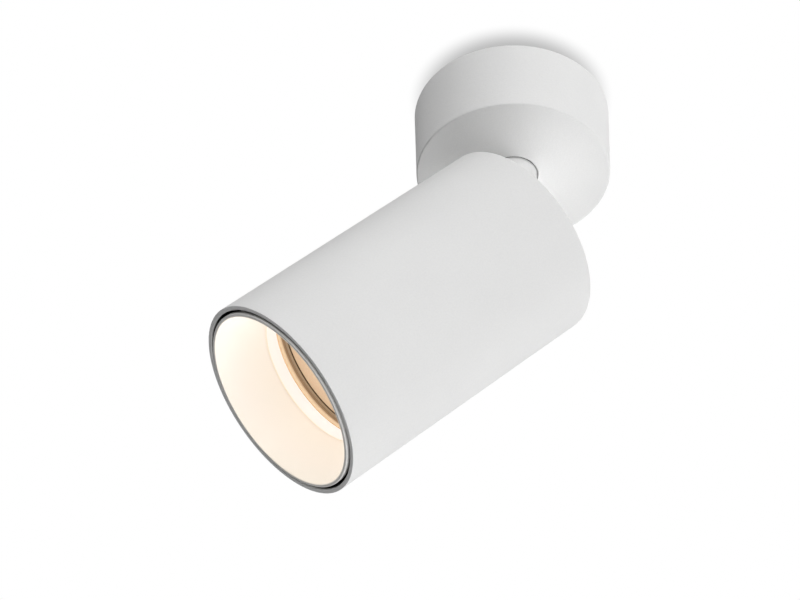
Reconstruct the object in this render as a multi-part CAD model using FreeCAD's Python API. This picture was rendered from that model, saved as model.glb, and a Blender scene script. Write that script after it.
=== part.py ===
import FreeCAD, Part
import math, os
from FreeCAD import Vector as V

os.makedirs("parts", exist_ok=True)

# ---------------------------------------------------------------- driving dimensions, millimetres
# origin: centre of the canopy's ceiling face; +Z up; the head tilts in the XZ plane towards -X
CANOPY_R_TOP = 30.0        # radius at the ceiling
CANOPY_R_LOW = 29.34       # radius at the lower face (1.5 degrees of draft)
CANOPY_H = 25.2
CANOPY_FLOOR = 3.0
CANOPY_WALL = 2.0
NECK_R = 7.1
RECESS_R = 7.62            # shallow recess in the lower face round the neck
RECESS_D = 1.2
STEM_R = 5.0               # threaded stem through the bush
STEM_BORE_R = 3.0
RUN = 0.05                 # radial running clearance
PIVOT_DROP = 28.62         # tilt axis below the canopy's lower face
KNUCKLE_R = 5.5
KNUCKLE_HALF = 4.5         # half its width along the tilt axis
CHANNEL_HALF = 2.2         # half the lead channel's width
HEAD_R = 30.0
HEAD_WALL = 1.3
HEAD_L = 94.6
PIVOT_IN = 0.79            # tilt axis inside the head's rear face
REST_TILT = 45.8           # degrees from straight down, as it rests
RIM_OUT_R = 27.78          # reflector rim
RIM_IN_R = 26.8
RIM_PROUD = 0.4
CONE_END_R = 22.05
CONE_END_D = 14.8          # depth behind the head's front edge
SKIRT_END_R = 22.8
SKIRT_END_D = 19.0
LAMP_D = 19.3              # depth of the lamp's front
LAMP_R = 25.0
LENS_D = 22.8
PIN_PITCH_R = 5.0          # lamp pins 10 mm apart
SLOT_PITCH = 36.0          # ceiling screw slots
SLOT_R = 2.25
SLOT_LEN = 9.0
STOP_R = 13.0              # radius of the pan stop pin's centre

PIVOT_Z = -(CANOPY_H + PIVOT_DROP)
FACE_Z = -CANOPY_H
FLOOR_Z = -(CANOPY_H - CANOPY_FLOOR)
FRONT = PIVOT_IN - HEAD_L  # the head's front edge in the head's own frame, pivot at 0, +Z to the rear

Z = V(0, 0, 1)


# ---------------------------------------------------------------- helpers
def cyl(r, z0, z1, x=0.0, y=0.0):
    return Part.makeCylinder(r, z1 - z0, V(x, y, z0), Z)


def cyl_y(r, y0, y1, x=0.0, z=0.0):
    return Part.makeCylinder(r, y1 - y0, V(x, y0, z), V(0, 1, 0))


def box(x0, x1, y0, y1, z0, z1):
    return Part.makeBox(x1 - x0, y1 - y0, z1 - z0, V(x0, y0, z0))


def ring(ro, ri, z0, z1):
    return cyl(ro, z0, z1).cut(cyl(ri, z0 - 1, z1 + 1))


def turned(points):
    """a closed profile of (radius, height) turned about Z"""
    pts = [V(r, 0, z) for r, z in points]
    wire = Part.makePolygon(pts + [pts[0]])
    solid = Part.Face(wire).revolve(V(0, 0, 0), Z, 360)
    return Part.Solid(solid.Shells[0]) if not solid.Solids else solid.Solids[0]


def corner(p, q, s, r, n=5):
    """points of a rounded corner at q between p and s in a profile"""
    p, q, s = (V(a[0], a[1], 0) for a in (p, q, s))
    u, v = (p - q).normalize(), (s - q).normalize()
    half = u.getAngle(v) / 2
    d = r / math.tan(half)
    c = q + (u + v).normalize() * (r / math.sin(half))
    a, b = q + u * d - c, q + v * d - c
    t = a.getAngle(b)
    out = []
    for i in range(n + 1):
        k = i / n
        w = a * (math.sin((1 - k) * t) / math.sin(t)) + b * (math.sin(k * t) / math.sin(t))
        out.append((c.x + w.x, c.y + w.y))
    return out


def hexagon(af, z0, z1, x=0.0, y=0.0):
    r = af / math.sqrt(3)
    pts = [V(x + r * math.cos(math.radians(60 * i)), y + r * math.sin(math.radians(60 * i)), z0) for i in range(7)]
    return Part.Face(Part.makePolygon(pts)).extrude(V(0, 0, z1 - z0))


def slot_x(length, r, z0, z1, x, y):
    h = length / 2 - r
    return box(x - h, x + h, y - r, y + r, z0, z1).fuse(cyl(r, z0, z1, x - h, y)).fuse(cyl(r, z0, z1, x + h, y)).removeSplitter()


def group(*shapes):
    return Part.makeCompound([s for sh in shapes for s in sh.Solids])


def up_y(shape, z=0.0):
    """turns a piece made along +Z so that it runs along +Y"""
    s = shape.copy()
    s.rotate(V(0, 0, 0), V(1, 0, 0), -90)
    s.translate(V(0, 0, z))
    return s


def route(points, r):
    """a lead: straight runs joined by tangent arcs, swept with a circle"""
    P = [V(*p) for p in points]
    edges, start = [], P[0]
    for i in range(1, len(P) - 1):
        a, b, c = P[i - 1], P[i], P[i + 1]
        u, v = (a - b).normalize(), (c - b).normalize()
        turn = math.pi - u.getAngle(v)
        run = min((a - b).Length, (c - b).Length)
        rad = 0.45 * run / math.tan(turn / 2)
        d = rad * math.tan(turn / 2)
        centre = b + (u + v).normalize() * (rad / math.cos(turn / 2))
        p1, p2 = b + u * d, b + v * d
        mid = centre + (b - centre).normalize() * rad
        edges.append(Part.LineSegment(start, p1).toShape())
        edges.append(Part.Arc(p1, mid, p2).toShape())
        start = p2
        print("lead radius %.2f" % rad)
    edges.append(Part.LineSegment(start, P[-1]).toShape())
    wire = Part.Wire(edges)
    circle = Part.Wire([Part.makeCircle(r, P[0], (P[1] - P[0]).normalize())])
    solid = wire.makePipeShell([circle], True, False)
    if abs(solid.Volume / (math.pi * r * r * wire.Length) - 1) > 0.02:
        print("lead volume is off", solid.Volume, math.pi * r * r * wire.Length)
    return solid


def to_head(shape):
    s = shape.copy()
    s.rotate(V(0, 0, 0), V(0, 1, 0), REST_TILT)
    s.translate(V(0, 0, PIVOT_Z))
    return s


def save(name, shape):
    for s in shape.Solids:
        if not s.isValid() or s.Volume <= 0:
            raise ValueError(name + " has a bad solid")
    shape.exportStep("parts/" + name + ".step")
    print(name, len(shape.Solids), round(shape.Volume, 1))


# ================================================================ canopy, fixed to the ceiling
# shell: drafted cup with a softly rounded lower edge and a turned groove for the bracket's hook
t_in, l_in = CANOPY_R_TOP - CANOPY_WALL, CANOPY_R_LOW - CANOPY_WALL - 0.1
RECESS_Z = FACE_Z + RECESS_D
profile = [(6.5, FLOOR_Z), (6.5, RECESS_Z), (RECESS_R, RECESS_Z)]
profile += corner((RECESS_R, RECESS_Z), (RECESS_R, FACE_Z), (CANOPY_R_LOW, FACE_Z), 0.12, 3)
profile += corner((RECESS_R, FACE_Z), (CANOPY_R_LOW, FACE_Z), (CANOPY_R_TOP, 0), 0.5)
profile += corner((CANOPY_R_LOW, FACE_Z), (CANOPY_R_TOP, 0), (t_in, 0), 0.3, 3)
profile += [(t_in, 0), (t_in - 0.06, -2.8), (t_in + 0.9, -2.8), (t_in + 0.9, -5.6), (t_in - 0.13, -5.6)]
profile += corner((t_in - 0.13, -5.6), (l_in, FLOOR_Z), (6.5, FLOOR_Z), 1.5)
shell = turned(profile)
GRUB_Z = -8.2
shell = shell.cut(cyl_y(2.03, 24, 33, 0, GRUB_Z))
shell = shell.cut(cyl(1.0, FACE_Z + 1.0, FLOOR_Z + 1, -STOP_R, 0))
save("canopy_shell", shell)

# ceiling bracket
plate = cyl(25.5, -1.5, 0)
for sx in (-1, 1):
    plate = plate.cut(slot_x(SLOT_LEN, SLOT_R, -3, 2, sx * SLOT_PITCH / 2, 0))
plate = plate.cut(cyl(6.0, -3, 2))
front_tab = box(-6, 6, 23.6, 25.1, -12.5, -0.75)
hook_tab = box(-5, 5, -25.1, -23.6, -7.2, -0.75)
hook = box(-3.6, 3.6, -28.4, -24.3, -5.1, -3.7)
bracket = plate.fuse(front_tab).fuse(hook_tab).fuse(hook)
for x, y, r in ((-4, 14, 1.1), (4, 14, 1.1), (17, 11, 1.6)):
    bracket = bracket.cut(cyl(r, -3, 2, x, y))
bracket = bracket.removeSplitter()
save("ceiling_bracket", bracket)

bushing = turned([(3.5, -0.1), (5.6, -0.1), (5.95, -0.5), (5.95, -1.5), (8.0, -1.5), (8.0, -2.3), (7.6, -2.7), (4.0, -2.7), (3.5, -2.4)])
save("cable_bushing", bushing)

# grub screw, hexagon socket outwards
grub = turned([(0, 0), (1.4, 0), (2.0, 0.6), (2.0, 3.9), (1.75, 4.2), (0, 4.2)])
grub = grub.cut(hexagon(2.0, 2.0, 5.0))
grub = up_y(grub)
grub.translate(V(0, 25.15, GRUB_Z))
save("canopy_grub_screw", grub)

# terminal strip under the bracket
TB = dict(y0=8.6, y1=19.4, z0=-13.6, z1=-1.5)
block = box(-11.6, 11.6, TB["y0"], TB["y1"], TB["z0"], TB["z1"])
for x in (-4, 4):
    block = block.cut(box(x - 0.6, x + 0.6, TB["y0"] - 1, TB["y0"] + 2.4, TB["z0"] - 1, TB["z1"] + 1))
    block = block.cut(box(x - 0.6, x + 0.6, TB["y1"] - 2.4, TB["y1"] + 1, TB["z0"] - 1, TB["z1"] + 1))
barrels, clamp_screws = [], []
for x in (-8, 0, 8):
    block = block.cut(cyl_y(2.55, TB["y0"] - 1, TB["y1"] + 1, x, -8.4))
    b = cyl_y(2.5, TB["y0"] + 0.5, TB["y1"] - 0.5, x, -8.4).cut(cyl_y(1.5, TB["y0"] - 1, TB["y1"] + 1, x, -8.4))
    for y in (TB["y0"] + 3.0, TB["y1"] - 3.0):
        block = block.cut(cyl(1.9, TB["z0"] - 1, -8.4, x, y))
        b = b.cut(cyl(1.25, -11.5, -8.4, x, y))
        s = cyl(1.2, -12.6, -9.95, x, y).fuse(cyl(1.75, -12.9, -11.3, x, y))
        s = s.cut(box(x - 2, x + 2, y - 0.25, y + 0.25, -13.5, -12.2)).removeSplitter()
        clamp_screws.append(s)
    barrels.append(b)
fix_screws = []
for x in (-4, 4):
    block = block.cut(cyl(1.15, -14, 0, x, 14)).cut(cyl(2.1, -14, -11.4, x, 14))
    s = cyl(1.05, -11.4, -0.3, x, 14).fuse(cyl(2.0, -12.9, -11.4, x, 14))
    s = s.cut(box(x - 2.5, x + 2.5, 13.75, 14.25, -13.5, -12.2)).removeSplitter()
    fix_screws.append(s)
block = block.removeSplitter()
# the barrels' screws cut into each barrel's wall, so the heads sit in wells of the barrel
barrels = [b.cut(cyl(1.8, -13, -10.6, x, TB["y0"] + 3.0)).cut(cyl(1.8, -13, -10.6, x, TB["y1"] - 3.0)) for b, x in zip(barrels, (-8, 0, 8))]
save("terminal_block", block)
save("terminal_barrels", group(*barrels))
save("terminal_screws", group(*clamp_screws))
save("terminal_fixing_screws", group(*fix_screws))

# earth bonding on the bracket
EX, EY = 17.0, 11.0
tag = cyl(3.2, -2.3, -1.5, EX, EY).fuse(box(EX - 1.6, EX + 1.6, EY, EY + 4.2, -2.3, -1.5))
tag = tag.cut(cyl(1.6, -4, 0, EX, EY)).removeSplitter()
tag = tag.fuse(cyl_y(1.6, EY + 3.8, EY + 7.0, EX, -3.2)).cut(cyl_y(0.84, EY + 3.0, EY + 8, EX, -3.2)).removeSplitter()
save("earth_tag", tag)
escrew = cyl(1.55, -4.0, -0.2, EX, EY).fuse(turned([(0, -4.6), (2.2, -4.6), (2.9, -3.9), (2.9, -2.3), (0, -2.3)]).translated(V(EX, EY, 0)))
escrew = escrew.cut(box(EX - 3, EX + 3, EY - 0.4, EY + 0.4, -5.2, -3.8)).cut(box(EX - 0.4, EX + 0.4, EY - 3, EY + 3, -5.2, -3.8)).removeSplitter()
save("earth_screw", escrew)
link = route([(17, 15.2, -3.2), (17, 20.4, -3.2), (13.4, 22.6, -5.6), (8, 22.6, -8.4), (8, 17.4, -8.4)], 0.8)
save("earth_link_lead", link)

# leads from the strip to the neck's mouth, ending just above the stem
LEAD_R = 0.65
save("canopy_lead_live", route([(-8, 11.5, -8.4), (-8, 5.0, -8.4), (-5.2, 0.2, -6.2), (-1.2, -1.4, -8.2), (0, -1.4, -14.2)], LEAD_R))
save("canopy_lead_neutral", route([(0, 11.5, -8.4), (0, 4.8, -8.4), (0, 1.4, -10.2), (0, 1.4, -14.2)], LEAD_R))
save("canopy_lead_earth", route([(8, 11.5, -8.4), (8, 4.8, -8.4), (5.2, 0.8, -7.2), (1.2, 0, -8.8), (0, 0, -14.2)], LEAD_R))

# pan bearing bush and stop pin
bush = turned([(STEM_R + RUN, RECESS_Z), (6.45, RECESS_Z), (6.45, FLOOR_Z), (9.0, FLOOR_Z), (9.0, FLOOR_Z + 1), (STEM_R + RUN, FLOOR_Z + 1)])
save("neck_bush", bush)
pin = turned([(0, FACE_Z + 1.0), (1.0, FACE_Z + 1.0), (1.0, -19.7), (0.7, -19.4), (0, -19.4)]).translated(V(-STOP_R, 0, 0))
save("pan_stop_pin", pin)

# ================================================================ neck
NECK_TOP = RECESS_Z - 0.5
NECK_LOW = PIVOT_Z + 19.3
STEM_TOP = -14.6
washer = ring(6.95, 5.3, NECK_TOP, RECESS_Z - 0.05)
save("neck_washer", washer)

neck = turned([(0, STEM_TOP), (STEM_R - 0.5, STEM_TOP), (STEM_R, STEM_TOP - 0.5), (STEM_R, NECK_TOP)]
              + corner((STEM_R, NECK_TOP), (NECK_R, NECK_TOP), (NECK_R, NECK_LOW), 0.3, 3)
              + corner((NECK_R, NECK_TOP), (NECK_R, NECK_LOW), (0, NECK_LOW), 0.8)
              + [(0, NECK_LOW)])
blade = box(-KNUCKLE_R, KNUCKLE_R, -KNUCKLE_HALF, KNUCKLE_HALF, PIVOT_Z, NECK_LOW + 0.5).common(cyl(6.4, PIVOT_Z, NECK_LOW + 1))
blade = blade.fuse(cyl_y(KNUCKLE_R, -KNUCKLE_HALF, KNUCKLE_HALF, 0, PIVOT_Z).common(cyl(6.4, PIVOT_Z - 9, PIVOT_Z + 9)))
cone = turned([(0, NECK_LOW + 0.2), (6.5, NECK_LOW + 0.2), (6.3, NECK_LOW), (5.2, NECK_LOW - 1.9), (0, NECK_LOW - 1.9)])
neck = neck.fuse(blade).fuse(cone).removeSplitter()
# flats on the stem for the keyed stop washer
for s in (-1, 1):
    neck = neck.cut(box(-6, 6, 4.4 if s > 0 else -6, 6 if s > 0 else -4.4, -21.1, STEM_TOP + 1))
neck = neck.cut(cyl(STEM_BORE_R, PIVOT_Z + 12.5, 0))
neck = neck.cut(box(-STEM_BORE_R, STEM_BORE_R, -CHANNEL_HALF, CHANNEL_HALF, PIVOT_Z + 5, PIVOT_Z + 13))
neck = neck.cut(box(-10, 10, -CHANNEL_HALF, CHANNEL_HALF, PIVOT_Z - 7, PIVOT_Z + 6.6))
neck = neck.cut(cyl_y(2.0, -10, 10, 0, PIVOT_Z)).removeSplitter()
save("swivel_neck", neck)


def keyed(ro, z0, z1):
    hole = cyl(STEM_R + 0.03, z0 - 1, z1 + 1).common(box(-6, 6, -4.43, 4.43, z0 - 1, z1 + 1))
    return cyl(ro, z0, z1).cut(hole)


lug = box(7.5, STOP_R + 1.3, -0.6, 0.6, -21.1, -19.9)
stop = keyed(8.5, -21.1, -19.9).fuse(lug).removeSplitter()
save("stop_washer", stop)
spring = turned([(5.1, -19.3), (5.1, -18.9), (8.3, -19.5), (8.3, -19.9)])
save("spring_washer", spring)
nut = hexagon(14.0, -18.9, -15.4).common(turned([(0, -18.9), (7.4, -18.9), (8.1, -18.4), (8.1, -15.9), (7.4, -15.4), (0, -15.4)]))
nut = nut.cut(cyl(STEM_R + 0.02, -20, -14)).removeSplitter()
save("neck_locknut", nut)

leads = [cyl(LEAD_R, PIVOT_Z + 1.4, STEM_TOP - 0.4, 0, y) for y in (-1.4, 0, 1.4)]
save("neck_leads", group(*leads))

EAR_IN, EAR_OUT = 4.8, 6.8
tw, pw, ps = [], [], []
for s in (-1, 1):
    def span(a, b, r, ri=None):
        lo, hi = (a, b) if s > 0 else (-b, -a)
        c = cyl_y(r, lo, hi, 0, PIVOT_Z)
        return c.cut(cyl_y(ri, lo - 1, hi + 1, 0, PIVOT_Z)) if ri else c
    tw.append(span(KNUCKLE_HALF, 4.75, 4.6, 2.1))
    pw.append(span(EAR_OUT + 0.05, 7.4, 3.3, 2.1))
    scr = span(2.25, 7.4, 2.0).fuse(span(7.4, 9.4, 3.4)).removeSplitter()
    sock = hexagon(2.5, 8.0, 11.0)
    sock = up_y(sock)
    if s < 0:
        sock.rotate(V(0, 0, 0), Z, 180)
    sock.translate(V(0, 0, PIVOT_Z))
    ps.append(scr.cut(sock))
save("tilt_washers", group(*tw))
save("pivot_spring_washers", group(*pw))
save("pivot_screws", group(*ps))

# ================================================================ head, in its own frame (pivot at 0, +Z to the rear)
RI = HEAD_R - HEAD_WALL
tube = turned([(RI, FRONT + 0.15), (RI + 0.15, FRONT)]
              + corner((RI, FRONT), (HEAD_R, FRONT), (HEAD_R, PIVOT_IN), 0.12, 3)
              + corner((HEAD_R, FRONT), (HEAD_R, PIVOT_IN), (RI, PIVOT_IN), 0.8)
              + [(RI, PIVOT_IN)])
save("head_tube", to_head(tube))

CAP_Z0, CAP_Z1 = -2.5, PIVOT_IN - 0.1
cap = cyl(RI - 0.05, CAP_Z0, CAP_Z1)
cap = cap.cut(box(-15.8, 6.8, -5.3, 5.3, -9, 9)).cut(box(-6.4, 6.4, -7.3, 7.3, -9, 9)).cut(box(-4.4, 4.4, -9.9, 9.9, -9, 9))
HB_SCREWS = [(-13, -14), (-13, 14), (8.5, -14), (8.5, 14)]
HO_SCREWS = [(0, -16.5), (0, 16.5)]
for x, y in HB_SCREWS + HO_SCREWS:
    cap = cap.cut(cyl(1.52, -9, -0.5, x, y))
cap = cap.removeSplitter()
save("rear_cap", to_head(cap))

base = box(-19, 12.5, -20, 20, -4.5, CAP_Z0).cut(box(-15.8, 6.8, -EAR_IN, EAR_IN, -9, 9))
ears = []
for s in (-1, 1):
    lo, hi = (EAR_IN, EAR_OUT) if s > 0 else (-EAR_OUT, -EAR_IN)
    e = box(-KNUCKLE_R, KNUCKLE_R, lo, hi, -4.5, 0).fuse(cyl_y(KNUCKLE_R, lo, hi))
    base = base.fuse(e)
base = base.cut(cyl_y(2.06, -30, 30))
for s in (-1, 1):
    y0, y1 = (EAR_OUT, 10) if s > 0 else (-10, -EAR_OUT)
    base = base.cut(cyl_y(3.9, y0, y1))
for x, y in HB_SCREWS + HO_SCREWS:
    base = base.cut(cyl(1.6, -9, 0, x, y))
ETX, ETY = -8.0, 10.0
base = base.cut(cyl(1.3, -9, 0, ETX, ETY)).removeSplitter()
save("hinge_bracket", to_head(base))


def pan_screw(x, y, z_head, length, r, rh, h, up=False):
    """pan-head screw, its head under z_head (or on it, if up), its shank length long the other way, cross recess in the head"""
    s = cyl(r, -0.2, length).fuse(turned([(0, -h), (rh - 0.7, -h), (rh, -h + 0.7), (rh, 0), (0, 0)]))
    for w in (box(-1.5, 1.5, -0.3, 0.3, -h - 1, -h + 1.0), box(-0.3, 0.3, -1.5, 1.5, -h - 1, -h + 1.0)):
        s = s.cut(w)
    s = s.removeSplitter()
    if up:
        s.rotate(V(0, 0, 0), V(1, 0, 0), 180)
    s.translate(V(x, y, z_head))
    return s


save("hinge_bracket_screws", to_head(group(*[pan_screw(x, y, -4.5, 3.9, 1.5, 2.6, 1.8) for x, y in HB_SCREWS])))
strap = box(-4, 4, -13, 13, -10.5, -9.5)
for s in (-1, 1):
    a = (12, 13) if s > 0 else (-13, -12)
    f = (12, 19.8) if s > 0 else (-19.8, -12)
    strap = strap.fuse(box(-4, 4, a[0], a[1], -10.5, -4.5)).fuse(box(-4, 4, f[0], f[1], -5.5, -4.5))
for x, y in HO_SCREWS:
    strap = strap.cut(cyl(1.6, -12, 0, x, y))
for y in (-8.5, 8.5):
    strap = strap.cut(cyl(1.6, -12, -8, 0, y))
strap = strap.removeSplitter()
save("holder_bracket", to_head(strap))
save("holder_bracket_screws", to_head(group(*[pan_screw(x, y, -5.5, 4.9, 1.5, 2.6, 1.8) for x, y in HO_SCREWS])))

# lampholder: ceramic, two curved keyhole slots for the lamp's headed pins
HOLD_Z0, HOLD_Z1 = -26.6, -10.5
TWIST = 25.0
holder = turned([(0, HOLD_Z0), (13.4, HOLD_Z0), (14.0, HOLD_Z0 + 0.6), (14.0, -18.5), (12.4, -16.9), (12.4, -11.1), (11.8, HOLD_Z1), (0, HOLD_Z1)])


def arc_cut(r, z0, z1, a0, a1):
    """the room that a pin of radius r needs as it turns from a0 to a1 at the pin circle"""
    out = ring(PIN_PITCH_R + r, PIN_PITCH_R - r, z0, z1)
    wedge = Part.makeCylinder(20, z1 - z0 + 2, V(0, 0, z0 - 1), Z, a1 - a0)
    wedge.rotate(V(0, 0, 0), Z, a0)
    out = out.common(wedge)
    for a in (a0, a1):
        t = math.radians(a)
        out = out.fuse(cyl(r, z0, z1, PIN_PITCH_R * math.cos(t), PIN_PITCH_R * math.sin(t)))
    return out


for a in (0, 180):
    holder = holder.cut(arc_cut(1.85, HOLD_Z0 - 1, -23.0, a - TWIST - 1, a + 1))
    holder = holder.cut(arc_cut(2.85, -23.4, -19.0, a - TWIST - 1, a + 1))
    t = math.radians(a - TWIST)
    holder = holder.cut(cyl(2.85, HOLD_Z0 - 1, -22, PIN_PITCH_R * math.cos(t), PIN_PITCH_R * math.sin(t)))
for y in (-8.5, 8.5):
    holder = holder.cut(cyl(1.52, -15.6, -9, 0, y))
for x in (-6, 6):
    holder = holder.cut(cyl(0.9, -14.0, -9, x, 0))
holder = holder.removeSplitter()
save("lampholder", to_head(holder))
contacts = [box(x - 1.6, x + 1.6, -1.3, 1.3, -19.45, -19.05) for x in (-5.2, 5.2)]
save("lampholder_contacts", to_head(group(*contacts)))
save("holder_screws", to_head(group(*[pan_screw(0, y, -9.5, 5.8, 1.5, 2.6, 1.6, up=True) for y in (-8.5, 8.5)])))

# leads in the head, from the holder to just under the tilt axis
save("head_lead_live", to_head(route([(6, 0, -13.8), (6, 0, -8.6), (3.4, 0.9, -5.2), (0.2, 1.4, -4.4), (0, 1.4, -1.4)], LEAD_R)))
save("head_lead_neutral", to_head(route([(-6, 0, -13.8), (-6, 0, -8.6), (-3.4, -0.9, -5.2), (-0.2, -1.4, -4.4), (0, -1.4, -1.4)], LEAD_R)))
save("head_lead_earth", to_head(route([(0, 0, -1.4), (0, 0.2, -5.8), (-2.4, 2.6, -8.2), (-7.2, 2.2, -7.2), (-7.4, 3.0, -6.0), (-7.4, 6.8, -6.0)], LEAD_R)))
ht = cyl(2.9, -5.2, -4.5, ETX, ETY).fuse(box(ETX - 0.7, ETX + 1.9, ETY - 5.6, ETY, -5.2, -4.5)).cut(cyl(1.3, -9, 0, ETX, ETY))
ht = ht.fuse(cyl_y(1.35, ETY - 5.6, ETY - 3.0, ETX + 0.6, -6.0)).cut(cyl_y(0.7, 0, 30, ETX + 0.6, -6.0).common(box(-20, 20, 0, 30, -9, -5.3))).removeSplitter()
save("head_earth_tag", to_head(ht))
save("head_earth_screw", to_head(pan_screw(ETX, ETY, -5.2, 2.5, 1.25, 2.3, 1.6)))

# seat ring for the reflector
z_seat = FRONT + SKIRT_END_D + 0.1
seat = ring(RI - 0.05, 25.6, z_seat, z_seat + 2.0)
save("seat_ring", to_head(seat))

# ================================================================ lamp
zl = FRONT + LAMP_D
z_lens = FRONT + LENS_D
LAMP_BASE = -26.96
lamp = turned([(0, LAMP_BASE), (10.9, LAMP_BASE), (11.5, LAMP_BASE - 0.6), (11.8, -38.0), (13.2, -40.0), (18.0, -47.0), (21.6, -54.5), (23.9, -62.0),
               (24.8, -65.6), (25.0, -66.2), (25.0, z_lens + 2.1), (0, z_lens + 2.1)])
fins = []
for i in range(20):
    f = box(17.5, 26, -0.45, 0.45, -62.5, -44.0)
    f.rotate(V(0, 0, 0), Z, i * 18)
    fins.append(f)
cutter = fins[0].multiFuse(fins[1:])
core = turned([(0, -30), (10, -30), (11.5, -40.0), (16.6, -47.0), (20.2, -54.5), (22.6, -62.0), (23.4, -70.0), (0, -70)])
lamp = lamp.cut(cutter.cut(core)).removeSplitter()
save("lamp_body", to_head(lamp))
bezel = turned([(SKIRT_END_R, zl), (LAMP_R - 0.4, zl), (LAMP_R, zl + 0.4), (LAMP_R, z_lens + 2.1), (24.05, z_lens + 2.1), (24.05, z_lens),
                (23.3, z_lens), (23.22, z_lens - 0.5), (23.22, z_lens - 0.75), (23.55, z_lens - 1.0), (23.55, z_lens - 1.9), (23.12, z_lens - 2.2),
                (22.9, zl + 0.25)])
save("lamp_bezel", to_head(bezel))
lens = turned([(0, z_lens + 0.02), (23.6, z_lens + 0.02), (24.0, z_lens + 0.3), (24.0, z_lens + 2.08), (0, z_lens + 2.08)])
save("lamp_lens", to_head(lens))
pins = []
for a in (0, 180):
    p = turned([(0, LAMP_BASE), (1.5, LAMP_BASE), (1.5, -22.6), (2.5, -22.3), (2.5, -20.5), (2.2, -20.1), (0, -20.1)])
    t = math.radians(a)
    pins.append(p.translated(V(PIN_PITCH_R * math.cos(t), PIN_PITCH_R * math.sin(t), 0)))
save("lamp_pins", to_head(group(*pins)))

# ================================================================ reflector insert
zf = FRONT - RIM_PROUD
zc = FRONT + CONE_END_D
zs = FRONT + SKIRT_END_D
refl = turned(corner((RIM_IN_R, zf), (RIM_OUT_R, zf), (RIM_OUT_R, zf + 2), 0.25, 3)
              + [(RIM_OUT_R, zf + 1.6), (RIM_OUT_R - 0.25, zf + 2.2), (23.45, zc - 0.6), (23.45, zc + 0.5), (23.9, zs - 1.1), (27.3, zs - 1.1), (27.3, zs), (SKIRT_END_R, zs),
                 (CONE_END_R + 0.12, zc + 0.5), (CONE_END_R, zc + 0.15), (CONE_END_R, zc)]
              + corner((CONE_END_R, zc), (RIM_IN_R, zf), (RIM_OUT_R, zf), 0.15, 2))
save("reflector", to_head(refl))
clips = []
for a in (90, 210, 330):
    poly = [(23.95, zs - 1.15), (24.35, zs - 1.15), (24.35, zs - 4.6), (28.4, zs - 8.9), (28.4, zs - 9.5), (26.9, zs - 13.4), (26.5, zs - 13.2),
            (27.98, zs - 9.4), (27.98, zs - 9.05), (23.95, zs - 4.75)]
    pts = [V(r, -2.5, z) for r, z in poly]
    c = Part.Face(Part.makePolygon(pts + [pts[0]])).extrude(V(0, 5, 0))
    c.rotate(V(0, 0, 0), Z, a)
    clips.append(c)
save("reflector_clips", to_head(group(*clips)))
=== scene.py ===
import math

import bpy
from mathutils import Matrix, Vector


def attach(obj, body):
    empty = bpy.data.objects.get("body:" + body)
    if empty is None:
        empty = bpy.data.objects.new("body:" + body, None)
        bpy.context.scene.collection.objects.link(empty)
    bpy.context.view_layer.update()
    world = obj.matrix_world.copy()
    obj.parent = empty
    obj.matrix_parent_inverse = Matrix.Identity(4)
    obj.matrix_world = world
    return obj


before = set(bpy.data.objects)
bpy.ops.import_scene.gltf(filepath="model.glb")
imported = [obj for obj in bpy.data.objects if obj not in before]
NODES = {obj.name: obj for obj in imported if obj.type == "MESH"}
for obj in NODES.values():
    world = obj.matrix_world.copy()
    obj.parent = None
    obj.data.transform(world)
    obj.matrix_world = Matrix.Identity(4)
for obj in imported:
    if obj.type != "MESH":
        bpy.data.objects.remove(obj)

bpy.context.view_layer.update()
scene = bpy.context.scene

# ---------------------------------------------------------------- sizes, metres, as in the CAD model
MM = 0.001
TILT = math.radians(45.8)
PIVOT = Vector((0, 0, -53.82 * MM))
HEAD = Matrix.Translation(PIVOT) @ Matrix.Rotation(TILT, 4, "Y")   # the head's own frame: pivot at 0, +Z to the rear
AXIS = -(HEAD.to_3x3() @ Vector((0, 0, 1)))                           # from the rear to the front
FRONT = (0.79 - 94.6) * MM


# ================================================================ camera, at the photograph's viewing angle
cam_data = bpy.data.cameras.new("camera")
cam = bpy.data.objects.new("camera", cam_data)
scene.collection.objects.link(cam)
right = Vector((0.9978960381, -0.0643702559, 0.0077438519))
down = Vector((0.0492051347, 0.6741419933, -0.7369609403))
ahead = Vector((0.0422179086, 0.7357914398, 0.6758909714))
m = Matrix((right, -down, -ahead)).transposed().to_4x4()
m.translation = Vector((-0.0656356413, -0.5513736311, -0.5855142387))
cam.matrix_world = m
cam_data.sensor_width = 36.0
cam_data.lens = 116.8196715
cam_data.clip_start, cam_data.clip_end = 0.01, 20.0
cam_data.dof.use_dof = False
scene.camera = cam
scene.view_settings.view_transform = "Standard"
scene.view_settings.look = "None"


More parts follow.
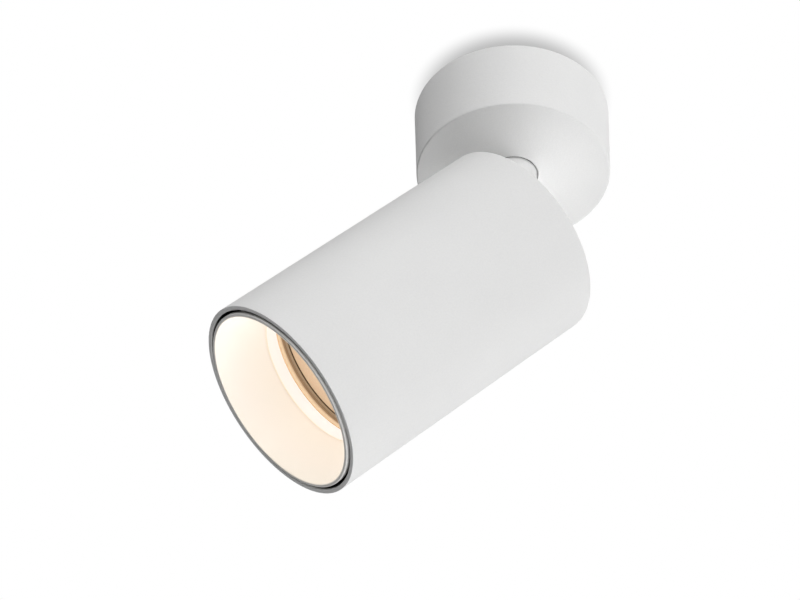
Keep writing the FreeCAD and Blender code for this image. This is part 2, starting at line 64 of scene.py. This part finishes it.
# ================================================================ node helpers
class Tree:
    """a material's node tree with short calls"""

    def __init__(self, name, slot=None):
        self.mat = bpy.data.materials.new(name)
        self.mat.use_nodes = True
        self.t = self.mat.node_tree
        self.t.nodes.clear()
        self.out = self.t.nodes.new("ShaderNodeOutputMaterial")
        self.b = self.t.nodes.new("ShaderNodeBsdfPrincipled")
        self.link(self.b, "BSDF", self.out, "Surface")
        self.coord = self.t.nodes.new("ShaderNodeTexCoord")

    def link(self, a, ao, b, bi):
        self.t.links.new(a.outputs[ao], b.inputs[bi])

    def set(self, **kw):
        for k, v in kw.items():
            self.b.inputs[k.replace("_", " ")].default_value = v
        return self

    def node(self, kind, **kw):
        n = self.t.nodes.new("ShaderNode" + kind)
        for k, v in kw.items():
            if k.startswith("in_"):
                n.inputs[k[3:].replace("_", " ")].default_value = v
            else:
                setattr(n, k, v)
        return n

    def noise(self, scale, detail=3.0, rough=0.55, vector=None, distortion=0.0):
        n = self.node("TexNoise", in_Scale=scale, in_Detail=detail, in_Roughness=rough, in_Distortion=distortion)
        if vector is None:
            self.link(self.coord, "Object", n, "Vector")
        else:
            self.t.links.new(vector, n.inputs["Vector"])
        return n.outputs["Fac"]

    def voronoi(self, scale, feature="F1", vector=None, randomness=1.0):
        n = self.node("TexVoronoi", feature=feature)
        n.inputs["Scale"].default_value = scale
        n.inputs["Randomness"].default_value = randomness
        if vector is None:
            self.link(self.coord, "Object", n, "Vector")
        else:
            self.t.links.new(vector, n.inputs["Vector"])
        return n.outputs["Distance"]

    def remap(self, value, lo, hi, to_lo, to_hi, smooth=False):
        n = self.node("MapRange")
        n.interpolation_type = "SMOOTHSTEP" if smooth else "LINEAR"
        self.t.links.new(value, n.inputs["Value"])
        for k, v in (("From Min", lo), ("From Max", hi), ("To Min", to_lo), ("To Max", to_hi)):
            n.inputs[k].default_value = v
        return n.outputs["Result"]

    def math(self, op, a, b=None, c=None):
        n = self.node("Math", operation=op)
        for i, v in enumerate((a, b, c)):
            if v is None:
                continue
            if isinstance(v, (int, float)):
                n.inputs[i].default_value = v
            else:
                self.t.links.new(v, n.inputs[i])
        return n.outputs[0]

    def mix(self, fac, a, b):
        n = self.node("Mix", data_type="RGBA")
        for i, v in ((0, fac), (6, a), (7, b)):
            if isinstance(v, (int, float, tuple, list)):
                n.inputs[i].default_value = (*v, 1) if isinstance(v, (tuple, list)) and len(v) == 3 else v
            else:
                self.t.links.new(v, n.inputs[i])
        return n.outputs[2]

    def to(self, value, socket):
        self.t.links.new(value, self.b.inputs[socket])
        return self

    def bump(self, height, strength, distance, normal=None):
        n = self.node("Bump")
        n.inputs["Strength"].default_value = strength
        n.inputs["Distance"].default_value = distance
        self.t.links.new(height, n.inputs["Height"])
        if normal is not None:
            self.t.links.new(normal, n.inputs["Normal"])
        return n.outputs["Normal"]

    def local(self):
        """position in the head's own frame, from the object's own coordinates"""
        inv = HEAD.inverted()
        n = self.node("Mapping", vector_type="POINT")
        # Mapping applies scale, rotation, then location
        e = inv.to_euler("XYZ")
        n.inputs["Rotation"].default_value = e
        n.inputs["Location"].default_value = inv.translation
        self.link(self.coord, "Object", n, "Vector")
        return n.outputs["Vector"]

    def split(self, vector):
        n = self.node("SeparateXYZ")
        self.t.links.new(vector, n.inputs[0])
        return n.outputs

    def pointiness(self):
        return self.node("NewGeometry").outputs["Pointiness"]


def lin(r, g, b):
    """display colour 0..255 to linear"""
    return tuple((c / 255 / 12.92) if c / 255 <= 0.04045 else ((c / 255 + 0.055) / 1.055) ** 2.4 for c in (r, g, b))


def assign(material, *nodes):
    for n in nodes:
        o = NODES[n]
        if not o.material_slots:
            o.data.materials.append(material)
        for s in o.material_slots:
            s.material = material


# ================================================================ materials
def powder_coat(name, tone=0.8, grain=1.0, bore=False):
    """matt white powder coat: fine orange peel and faint mottling; a tube's bore is painted near black as painted shade
    in the deep gap behind the front rim
    """
    t = Tree(name)
    t.set(Metallic=0.0, IOR=1.5, Specular_IOR_Level=0.35)
    broad = t.noise(38, 2, 0.5)
    fine = t.noise(1900, 3, 0.6)
    speck = t.voronoi(2600)
    value = t.math("ADD", t.remap(broad, 0.3, 0.7, -0.012, 0.012), t.remap(fine, 0.3, 0.7, -0.016, 0.016))
    f = t.remap(value, -0.03, 0.03, 0.0, 1.0)
    a = (tone * 0.965, tone * 0.965, tone * 0.962)
    b = (tone * 1.03, tone * 1.03, tone * 1.024)
    coat = t.mix(f, a, b)
    if bore:
        # painted shade: inside the front rim the bore is coloured near black to darken the gap between tube and
        # reflector
        x, y, z = t.split(t.local())
        r = t.math("SQRT", t.math("ADD", t.math("MULTIPLY", x, x), t.math("MULTIPLY", y, y)))
        bore_painted_shade = t.math("MULTIPLY", t.remap(r, 28.74 * MM, 28.84 * MM, 1.0, 0.0), t.remap(z, FRONT + 0.3 * MM, FRONT + 0.7 * MM, 0.0, 1.0))
        coat = t.mix(bore_painted_shade, coat, t.mix(f, (0.030, 0.029, 0.027), (0.042, 0.040, 0.037)))
    t.to(coat, "Base Color")
    t.to(t.remap(fine, 0.25, 0.75, 0.62, 0.5), "Roughness")
    h = t.math("ADD", t.math("MULTIPLY", fine, 0.7), t.math("MULTIPLY", speck, 0.3))
    n = t.bump(h, 0.35 * grain, 0.00006)
    n = t.bump(t.noise(620, 2, 0.5), 0.16 * grain, 0.00010, n)
    t.to(n, "Normal")
    return t.mat


def metal(name, colour, rough=(0.25, 0.42), scale=(60, 900), streak=None, tint=0.12, bump=0.1):
    """plated or bare metal with fine brushing and slight staining"""
    t = Tree(name)
    t.set(Metallic=1.0, Specular_IOR_Level=0.5)
    stain = t.noise(scale[0], 4, 0.6)
    if streak:
        m = t.node("Mapping")
        m.inputs["Scale"].default_value = streak
        t.link(t.coord, "Object", m, "Vector")
        fine = t.noise(scale[1], 2, 0.5, m.outputs["Vector"])
    else:
        fine = t.noise(scale[1], 3, 0.6)
    dark = tuple(c * (1 - tint) for c in colour)
    light = tuple(min(1, c * (1 + tint * 0.6)) for c in colour)
    f = t.math("ADD", t.math("MULTIPLY", stain, 0.6), t.math("MULTIPLY", fine, 0.4))
    t.to(t.mix(t.remap(f, 0.32, 0.68, 0, 1), dark, light), "Base Color")
    t.to(t.remap(t.math("ADD", t.math("MULTIPLY", stain, 0.5), t.math("MULTIPLY", fine, 0.5)), 0.3, 0.7, rough[0], rough[1]), "Roughness")
    t.to(t.bump(fine, bump, 0.00003), "Normal")
    return t.mat


def plastic(name, colour, rough=(0.35, 0.5), spec=0.5, fine_scale=2200, mottled=0.04, bump=0.15, sss=0.0):
    """moulded plastic with spark-eroded texture and slight mottling"""
    t = Tree(name)
    t.set(Metallic=0.0, IOR=1.48, Specular_IOR_Level=spec)
    if sss:
        t.set(Subsurface_Weight=sss, Subsurface_Scale=0.0008)
        t.b.inputs["Subsurface Radius"].default_value = (1.0, 0.8, 0.6)
    broad = t.noise(70, 3, 0.55)
    fine = t.noise(fine_scale, 3, 0.6)
    f = t.remap(t.math("ADD", t.math("MULTIPLY", broad, 0.6), t.math("MULTIPLY", fine, 0.4)), 0.3, 0.7, 0, 1)
    a = tuple(c * (1 - mottled) for c in colour)
    b = tuple(min(1, c * (1 + mottled)) for c in colour)
    t.to(t.mix(f, a, b), "Base Color")
    t.to(t.remap(fine, 0.25, 0.75, rough[0], rough[1]), "Roughness")
    t.to(t.bump(fine, bump, 0.00004), "Normal")
    return t.mat


assign(powder_coat("white_coat_tube", 0.782, bore=True), "head_tube")
assign(powder_coat("white_coat_fine"), "rear_cap")
assign(powder_coat("white_coat_cast", 0.788, 2.2), "canopy_shell")
assign(powder_coat("white_coat_neck", 0.87, 0.8), "swivel_neck")

assign(metal("zinc_plated", (0.60, 0.61, 0.63), (0.28, 0.45), (45, 500), (1, 1, 1), 0.14), "ceiling_bracket", "hinge_bracket", "holder_bracket", "stop_washer", "neck_locknut", "seat_ring")
assign(metal("screw_steel", (0.55, 0.56, 0.57), (0.22, 0.38), (160, 1800), (1, 1, 0.15)), "canopy_grub_screw", "terminal_screws", "terminal_fixing_screws", "earth_screw", "pan_stop_pin", "hinge_bracket_screws", "holder_bracket_screws", "holder_screws", "head_earth_screw", "pivot_screws")
assign(metal("spring_strip", (0.5, 0.5, 0.52), (0.16, 0.28), (120, 1500), (0.1, 1, 1)), "spring_washer", "pivot_spring_washers", "reflector_clips")
assign(metal("tinned_brass_satin", (0.74, 0.66, 0.45), (0.25, 0.4), (200, 1800)), "terminal_barrels", "earth_tag", "head_earth_tag", "lampholder_contacts", "lamp_pins")
assign(plastic("strip_nylon", (0.80, 0.79, 0.73), (0.38, 0.52), sss=0.15), "terminal_block")
assign(plastic("black_nylon_matt", (0.022, 0.022, 0.023), (0.42, 0.6), 0.4, 1500, 0.25), "cable_bushing", "neck_washer", "tilt_washers")
assign(plastic("bush_nylon", (0.82, 0.81, 0.77), (0.35, 0.5), sss=0.1), "neck_bush")
assign(plastic("glazed_ceramic", (0.80, 0.78, 0.71), (0.3, 0.55), 0.5, 900, 0.05, 0.3), "lampholder")
assign(plastic("sleeve_brown", (0.13, 0.05, 0.022), (0.38, 0.5), 0.5, 1200, 0.08), "canopy_lead_live", "head_lead_live")
assign(plastic("sleeve_blue", (0.02, 0.10, 0.42), (0.38, 0.5), 0.5, 1200, 0.08), "canopy_lead_neutral", "head_lead_neutral")
assign(plastic("sleeve_glassfibre", (0.78, 0.76, 0.69), (0.6, 0.75), 0.3, 1400, 0.06, 0.5), "neck_leads")


def earth_sleeve():
    """green insulation with a yellow stripe that winds round it"""
    t = Tree("sleeve_green_yellow")
    t.set(IOR=1.48, Specular_IOR_Level=0.5)
    x, y, z = t.split(t.coord.outputs["Object"])
    w = t.math("SINE", t.math("ADD", t.math("MULTIPLY", x, 2600.0), t.math("MULTIPLY", z, 1900.0)))
    f = t.remap(w, -0.15, 0.15, 0, 1, True)
    fine = t.noise(1400, 3)
    green = t.mix(t.remap(fine, 0.3, 0.7, 0, 1), (0.045, 0.21, 0.05), (0.06, 0.26, 0.065))
    yellow = t.mix(t.remap(fine, 0.3, 0.7, 0, 1), (0.70, 0.52, 0.04), (0.78, 0.60, 0.06))
    t.to(t.mix(f, green, yellow), "Base Color")
    t.to(t.remap(fine, 0.25, 0.75, 0.36, 0.5), "Roughness")
    t.to(t.bump(fine, 0.12, 0.00004), "Normal")
    return t.mat


assign(earth_sleeve(), "canopy_lead_earth", "head_lead_earth", "earth_link_lead")
assign(plastic("lamp_shell_white", (0.76, 0.76, 0.74), (0.34, 0.5), 0.45, 1600, 0.03), "lamp_body")


def lamp_rim():
    """moulded rim of the lamp: gold bands of painted light and shade along its depth, pale gold at the lip and darker
    brown further in, painted shadow darkening to near black at the joint with the face, and a painted warm glow where
    the lamp's light catches it
    """
    t = Tree("lamp_rim_satin")
    t.set(Metallic=0.3, IOR=1.5, Specular_IOR_Level=0.5)
    p = t.local()
    fine = t.noise(900, 3, 0.6, p)
    z = t.split(p)[2]
    depth = t.remap(z, FRONT + 19.2 * MM, FRONT + 22.9 * MM, 0.0, 1.0)
    # painted light and shade: lighter and darker gold bands along the depth stand in for the lamp's light on the
    # stepped rim; the near-black end is painted shadow in the joint with the face
    bands = [(0.0, (0.50, 0.42, 0.33)), (0.06, (0.80, 0.71, 0.58)), (0.26, (0.84, 0.74, 0.60)), (0.36, (0.66, 0.56, 0.45)), (0.45, (0.55, 0.45, 0.36)),
             (0.50, (0.33, 0.25, 0.17)), (0.66, (0.31, 0.23, 0.16)), (0.72, (0.54, 0.46, 0.37)), (0.81, (0.60, 0.52, 0.42)), (0.85, (0.16, 0.12, 0.08)), (0.90, (0.05, 0.036, 0.025)), (1.0, (0.04, 0.03, 0.02))]
    ramp = t.node("ValToRGB")
    cr = ramp.color_ramp
    while len(cr.elements) > 1:
        cr.elements.remove(cr.elements[-1])
    cr.elements[0].position, cr.elements[0].color = bands[0][0], (*bands[0][1], 1)
    for k, c in bands[1:]:
        cr.elements.new(k).color = (*c, 1)
    t.t.links.new(depth, ramp.inputs["Fac"])
    band = ramp.outputs["Color"]
    worn = t.mix(t.remap(fine, 0.3, 0.7, 0, 1), (0.90, 0.89, 0.88), (1.0, 1.0, 1.0))
    n = t.node("Mix", data_type="RGBA", blend_type="MULTIPLY")
    n.inputs[0].default_value = 1.0
    t.t.links.new(band, n.inputs[6])
    t.t.links.new(worn, n.inputs[7])
    t.to(n.outputs[2], "Base Color")
    # painted glow: the band colours, scaled down, are emitted to stand in for the lamp's light falling on the rim
    lit = t.node("Mix", data_type="RGBA", blend_type="MULTIPLY")
    lit.inputs[0].default_value = 1.0
    t.t.links.new(n.outputs[2], lit.inputs[6])
    lit.inputs[7].default_value = (0.13, 0.104, 0.072, 1)
    # painted highlight: a brighter orange glow on the front edge of the rim
    lip = t.remap(z, FRONT + 19.31 * MM, FRONT + 19.37 * MM, 1.0, 0.0)
    t.to(t.mix(lip, lit.outputs[2], (0.42, 0.26, 0.12)), "Emission Color")
    t.set(Emission_Strength=1.0)
    t.to(t.remap(fine, 0.25, 0.75, 0.34, 0.46), "Roughness")
    t.to(t.bump(fine, 0.08, 0.00003), "Normal")
    return t.mat


assign(lamp_rim(), "lamp_bezel")


def lamp_face():
    """frosted front with a fine pyramid pattern, softly lit from behind"""
    t = Tree("lamp_face_frosted")
    t.set(IOR=1.49, Specular_IOR_Level=0.4)
    p = t.local()
    cell = t.voronoi(1500, vector=p, randomness=0.15)
    soft = t.noise(120, 2, 0.5, p)
    warm = t.mix(t.remap(cell, 0.0, 0.6, 0, 1), (0.66, 0.56, 0.45), (0.52, 0.43, 0.33))
    t.to(warm, "Base Color")
    t.to(t.remap(soft, 0.3, 0.7, 0.35, 0.5), "Roughness")
    t.to(t.bump(cell, 0.35, 0.00008), "Normal")
    # brighter towards the middle, where the light source sits behind the face
    x, y, z = t.split(p)
    r = t.math("SQRT", t.math("ADD", t.math("MULTIPLY", x, x), t.math("MULTIPLY", y, y)))
    hot = t.remap(r, 2.5 * MM, 15.0 * MM, 1.0, 0.0, True)
    face = t.mix(t.remap(cell, 0.0, 0.6, 0, 1), (0.72, 0.52, 0.35), (0.50, 0.345, 0.22))
    core = t.mix(t.remap(cell, 0.0, 0.6, 0, 1), (1.0, 0.90, 0.74), (0.92, 0.76, 0.56))
    t.to(t.mix(hot, face, core), "Emission Color")
    t.set(Emission_Strength=0.98)
    return t.mat


assign(lamp_face(), "lamp_lens")


def reflector_white():
    """smooth matt white moulding that glows where the lamp shines on it"""
    t = Tree("reflector_matt")
    t.set(IOR=1.48, Specular_IOR_Level=0.4)
    p = t.local()
    broad = t.noise(60, 2, 0.5, p)
    fine = t.noise(2400, 2, 0.5, p)
    f = t.remap(t.math("ADD", t.math("MULTIPLY", broad, 0.5), t.math("MULTIPLY", fine, 0.5)), 0.3, 0.7, 0, 1)
    x, y, z = t.split(p)
    r = t.math("SQRT", t.math("ADD", t.math("MULTIPLY", x, x), t.math("MULTIPLY", y, y)))
    # the white is bare on the rim and on the hidden outside; on the cone and skirt it takes up the lamp's warm light
    wall = t.math("MAXIMUM", t.remap(z, FRONT, FRONT + 14.8 * MM, 26.95 * MM, 22.3 * MM), t.remap(z, FRONT + 14.5 * MM, FRONT + 15.0 * MM, 0.0, 23.2 * MM))
    inside = t.remap(t.math("SUBTRACT", r, wall), -0.05 * MM, 0.1 * MM, 1.0, 0.0)
    depth = t.remap(z, FRONT, FRONT + 19.0 * MM, 0.0, 1.0)
    ramp = t.node("ValToRGB")
    cr = ramp.color_ramp
    bands = [(0.0, (0.74, 0.64, 0.50)), (0.12, (0.80, 0.70, 0.57)), (0.32, (0.89, 0.76, 0.64)), (0.55, (0.91, 0.80, 0.67)), (0.74, (0.92, 0.79, 0.66)), (0.785, (0.60, 0.42, 0.26)), (0.81, (0.58, 0.62, 0.72)), (1.0, (0.58, 0.62, 0.76))]
    while len(cr.elements) > 1:
        cr.elements.remove(cr.elements[-1])
    cr.elements[0].position, cr.elements[0].color = bands[0][0], (*bands[0][1], 1)
    for k, c in bands[1:]:
        cr.elements.new(k).color = (*c, 1)
    t.t.links.new(depth, ramp.inputs["Fac"])
    # the side of the cone that already faces the room's light glows less
    side = t.math("MULTIPLY", inside, t.remap(x, -26 * MM, -5 * MM, 0.70, 1.0))
    t.to(t.mix(side, (0, 0, 0), ramp.outputs["Color"]), "Emission Color")
    t.set(Emission_Strength=0.45)
    t.to(t.mix(f, (0.80, 0.79, 0.77), (0.84, 0.83, 0.81)), "Base Color")
    t.to(t.remap(fine, 0.25, 0.75, 0.42, 0.55), "Roughness")
    t.to(t.bump(fine, 0.06, 0.00003), "Normal")
    return t.mat


assign(reflector_white(), "reflector")

# ================================================================ ceiling and light
def ceiling():
    """a pale ceiling, seen from below only, with the canopy's soft contact shadow"""
    me = bpy.data.meshes.new("ceiling")
    n, r = 96, 0.075
    verts = [(r * math.cos(2 * math.pi * i / n), r * math.sin(2 * math.pi * i / n), 0.0004) for i in range(n)]
    me.from_pydata(verts, [], [list(reversed(range(n)))])
    o = bpy.data.objects.new("ceiling", me)
    scene.collection.objects.link(o)
    mat = bpy.data.materials.new("ceiling_pale")
    mat.use_nodes = True
    t = mat.node_tree
    t.nodes.clear()
    out = t.nodes.new("ShaderNodeOutputMaterial")
    em = t.nodes.new("ShaderNodeEmission")
    tr = t.nodes.new("ShaderNodeBsdfTransparent")
    mx = t.nodes.new("ShaderNodeMixShader")
    geo = t.nodes.new("ShaderNodeNewGeometry")
    co = t.nodes.new("ShaderNodeTexCoord")
    ln = t.nodes.new("ShaderNodeVectorMath")
    ln.operation = "DISTANCE"
    ln.inputs[1].default_value = (-0.0009, -0.0062, 0.0004)
    mr = t.nodes.new("ShaderNodeMapRange")
    mr.interpolation_type = "SMOOTHSTEP"
    for k, v in (("From Min", 0.0225), ("From Max", 0.032), ("To Min", 0.5), ("To Max", 1.0)):
        mr.inputs[k].default_value = v
    t.links.new(co.outputs["Object"], ln.inputs[0])
    t.links.new(ln.outputs["Value"], mr.inputs["Value"])
    t.links.new(mr.outputs["Result"], em.inputs["Color"])
    t.links.new(geo.outputs["Backfacing"], mx.inputs[0])
    t.links.new(em.outputs[0], mx.inputs[1])
    t.links.new(tr.outputs[0], mx.inputs[2])
    t.links.new(mx.outputs[0], out.inputs[0])
    me.materials.append(mat)
    o.visible_diffuse = o.visible_glossy = o.visible_transmission = o.visible_shadow = False
    return o


ceiling()

world = bpy.data.worlds.new("studio")
scene.world = world
world.use_nodes = True
wt = world.node_tree
wt.nodes.clear()
wo = wt.nodes.new("ShaderNodeOutputWorld")
bg_see = wt.nodes.new("ShaderNodeBackground")
bg_lit = wt.nodes.new("ShaderNodeBackground")
bg_lit.name = "ambient"
lp = wt.nodes.new("ShaderNodeLightPath")
wm = wt.nodes.new("ShaderNodeMixShader")
bg_see.inputs[0].default_value = (1, 1, 1, 1)
bg_see.inputs[1].default_value = 1.0
bg_lit.inputs[0].default_value = (1, 1, 1, 1)
bg_lit.inputs[1].default_value = 0.02
# bare metal mirrors a dim studio
bg_gloss = wt.nodes.new("ShaderNodeBackground")
bg_gloss.name = "gloss"
bg_gloss.inputs[0].default_value = (1, 1, 1, 1)
bg_gloss.inputs[1].default_value = 0.32
wg = wt.nodes.new("ShaderNodeMixShader")
wt.links.new(lp.outputs["Is Glossy Ray"], wg.inputs[0])
wt.links.new(bg_lit.outputs[0], wg.inputs[1])
wt.links.new(bg_gloss.outputs[0], wg.inputs[2])
wt.links.new(lp.outputs["Is Camera Ray"], wm.inputs[0])
wt.links.new(wg.outputs[0], wm.inputs[1])
wt.links.new(bg_see.outputs[0], wm.inputs[2])
wt.links.new(wm.outputs[0], wo.inputs[0])

# soft studio lights: azimuth and elevation as seen from the object, apparent width in degrees, strength
RIG = [
    ("softbox_front", 0, 0, 40, 1.23),
    ("softbox_front_high", 0, 35, 40, 0.43),
    ("softbox_front_right", 30, -30, 40, 0.94),
    ("softbox_right_high", 60, 35, 40, 0.89),
    ("softbox_below_right", 120, -60, 40, 1.09),
    ("softbox_right_low", 120, -30, 40, 0.51),
    ("softbox_back_right_high", 120, 35, 40, 0.43),
    ("softbox_back_low", 150, -30, 40, 0.75),
    ("softbox_back_centre", 180, -30, 40, 0.78),
    ("softbox_back_left_high", 240, 35, 40, 0.49),
    ("softbox_left_high", 300, 35, 40, 0.43),
    ("softbox_above", 0, 88, 40, 0.2),
]
for name, az, el, width, energy in RIG:
    d = bpy.data.lights.new(name, "SUN")
    d.energy, d.angle = energy, math.radians(width)
    o = bpy.data.objects.new(name, d)
    scene.collection.objects.link(o)
    a, e = math.radians(az), math.radians(el)
    src = Vector((math.sin(a) * math.cos(e), -math.cos(a) * math.cos(e), math.sin(e)))
    o.rotation_mode = "QUATERNION"
    o.rotation_quaternion = src.to_track_quat("Z", "Y")

# the lamp's own light
glow = bpy.data.lights.new("lamp_glow", "AREA")
glow.shape, glow.size, glow.energy = "DISK", 0.042, 0.003
glow.color = (1.0, 0.97, 0.90)
g = bpy.data.objects.new("lamp_glow", glow)
scene.collection.objects.link(g)
g.matrix_world = HEAD @ Matrix.Translation((0, 0, FRONT + 22.6 * MM))
g.visible_camera = False
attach(g, "lamp")

bpy.context.view_layer.update()
